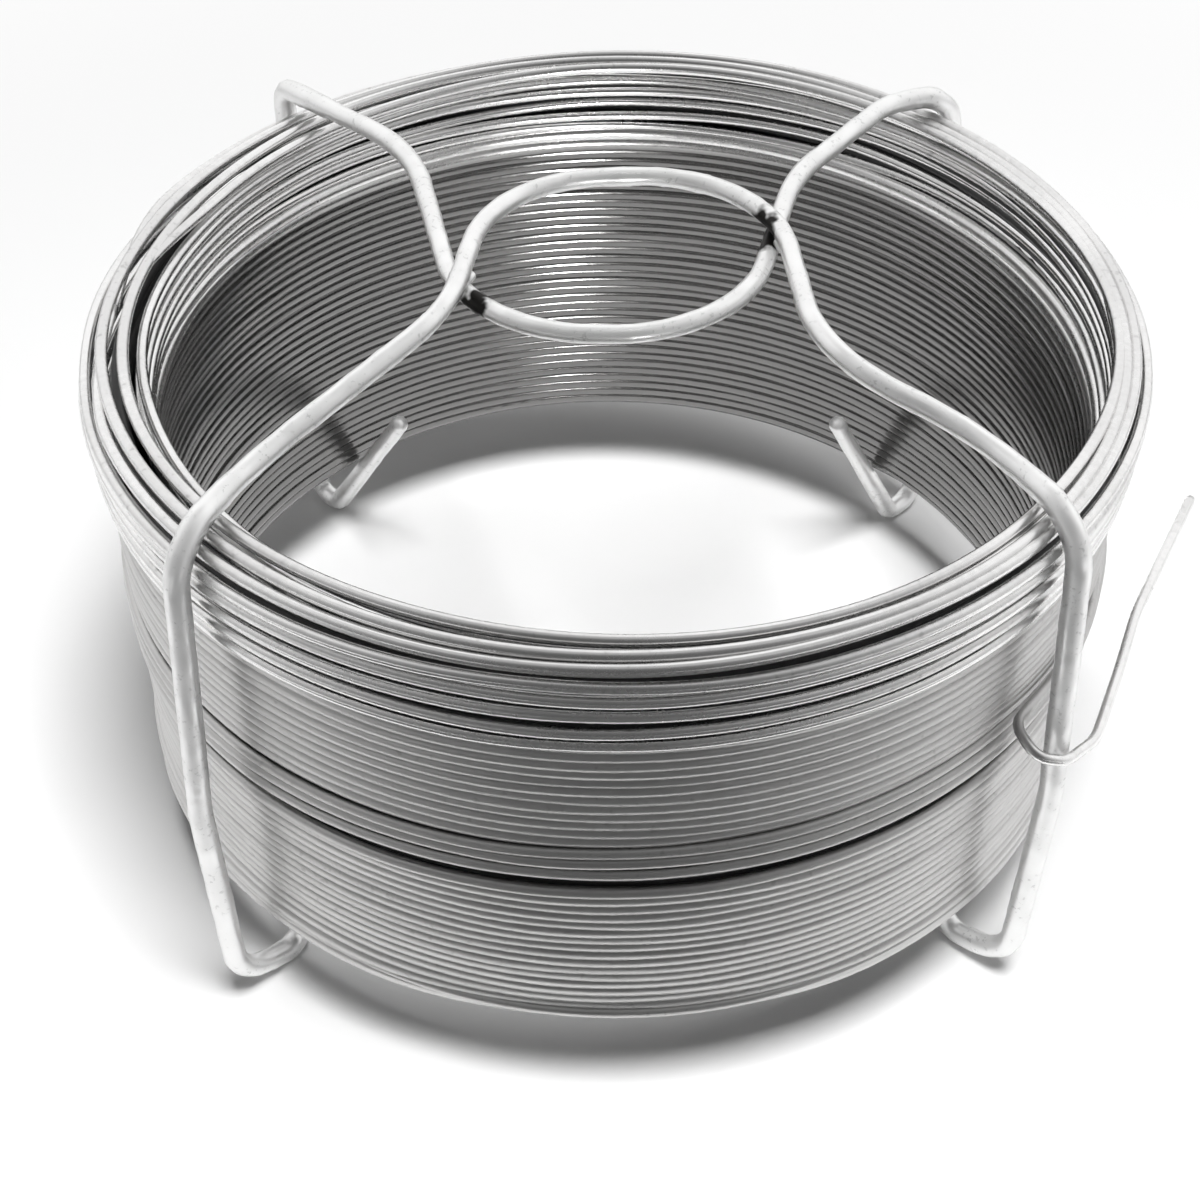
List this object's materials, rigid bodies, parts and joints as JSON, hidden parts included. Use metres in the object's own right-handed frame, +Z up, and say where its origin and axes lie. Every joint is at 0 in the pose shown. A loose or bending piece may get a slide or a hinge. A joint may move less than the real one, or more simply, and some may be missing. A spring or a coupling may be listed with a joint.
{
  "type": "roll of galvanized wire",
  "caption": "Roll of galvanized steel wire held by crossed bent holder wires that form a hanging ring over the bore and hooks under it, with one free wire end.",
  "frame": {"origin": "on the roll's axis, at the level surface that the four hooks stand on", "axes": "+Z up along the roll's axis, +X to the right and +Y to the back, with the free end at the right"},
  "size_m": [0.1054, 0.096, 0.0606],
  "materials": {
    "galvanized_wire": "bright drawn galvanized steel wire, semi-gloss",
    "zinc_coated_holder": "thick pale hot-dip zinc coating with small lumps and grey specks"
  },
  "bodies": {
    "root": {"wire_roll": "galvanized_wire", "holder_wire_front": "zinc_coated_holder", "holder_wire_back": "zinc_coated_holder"}
  },
  "joints": []
}
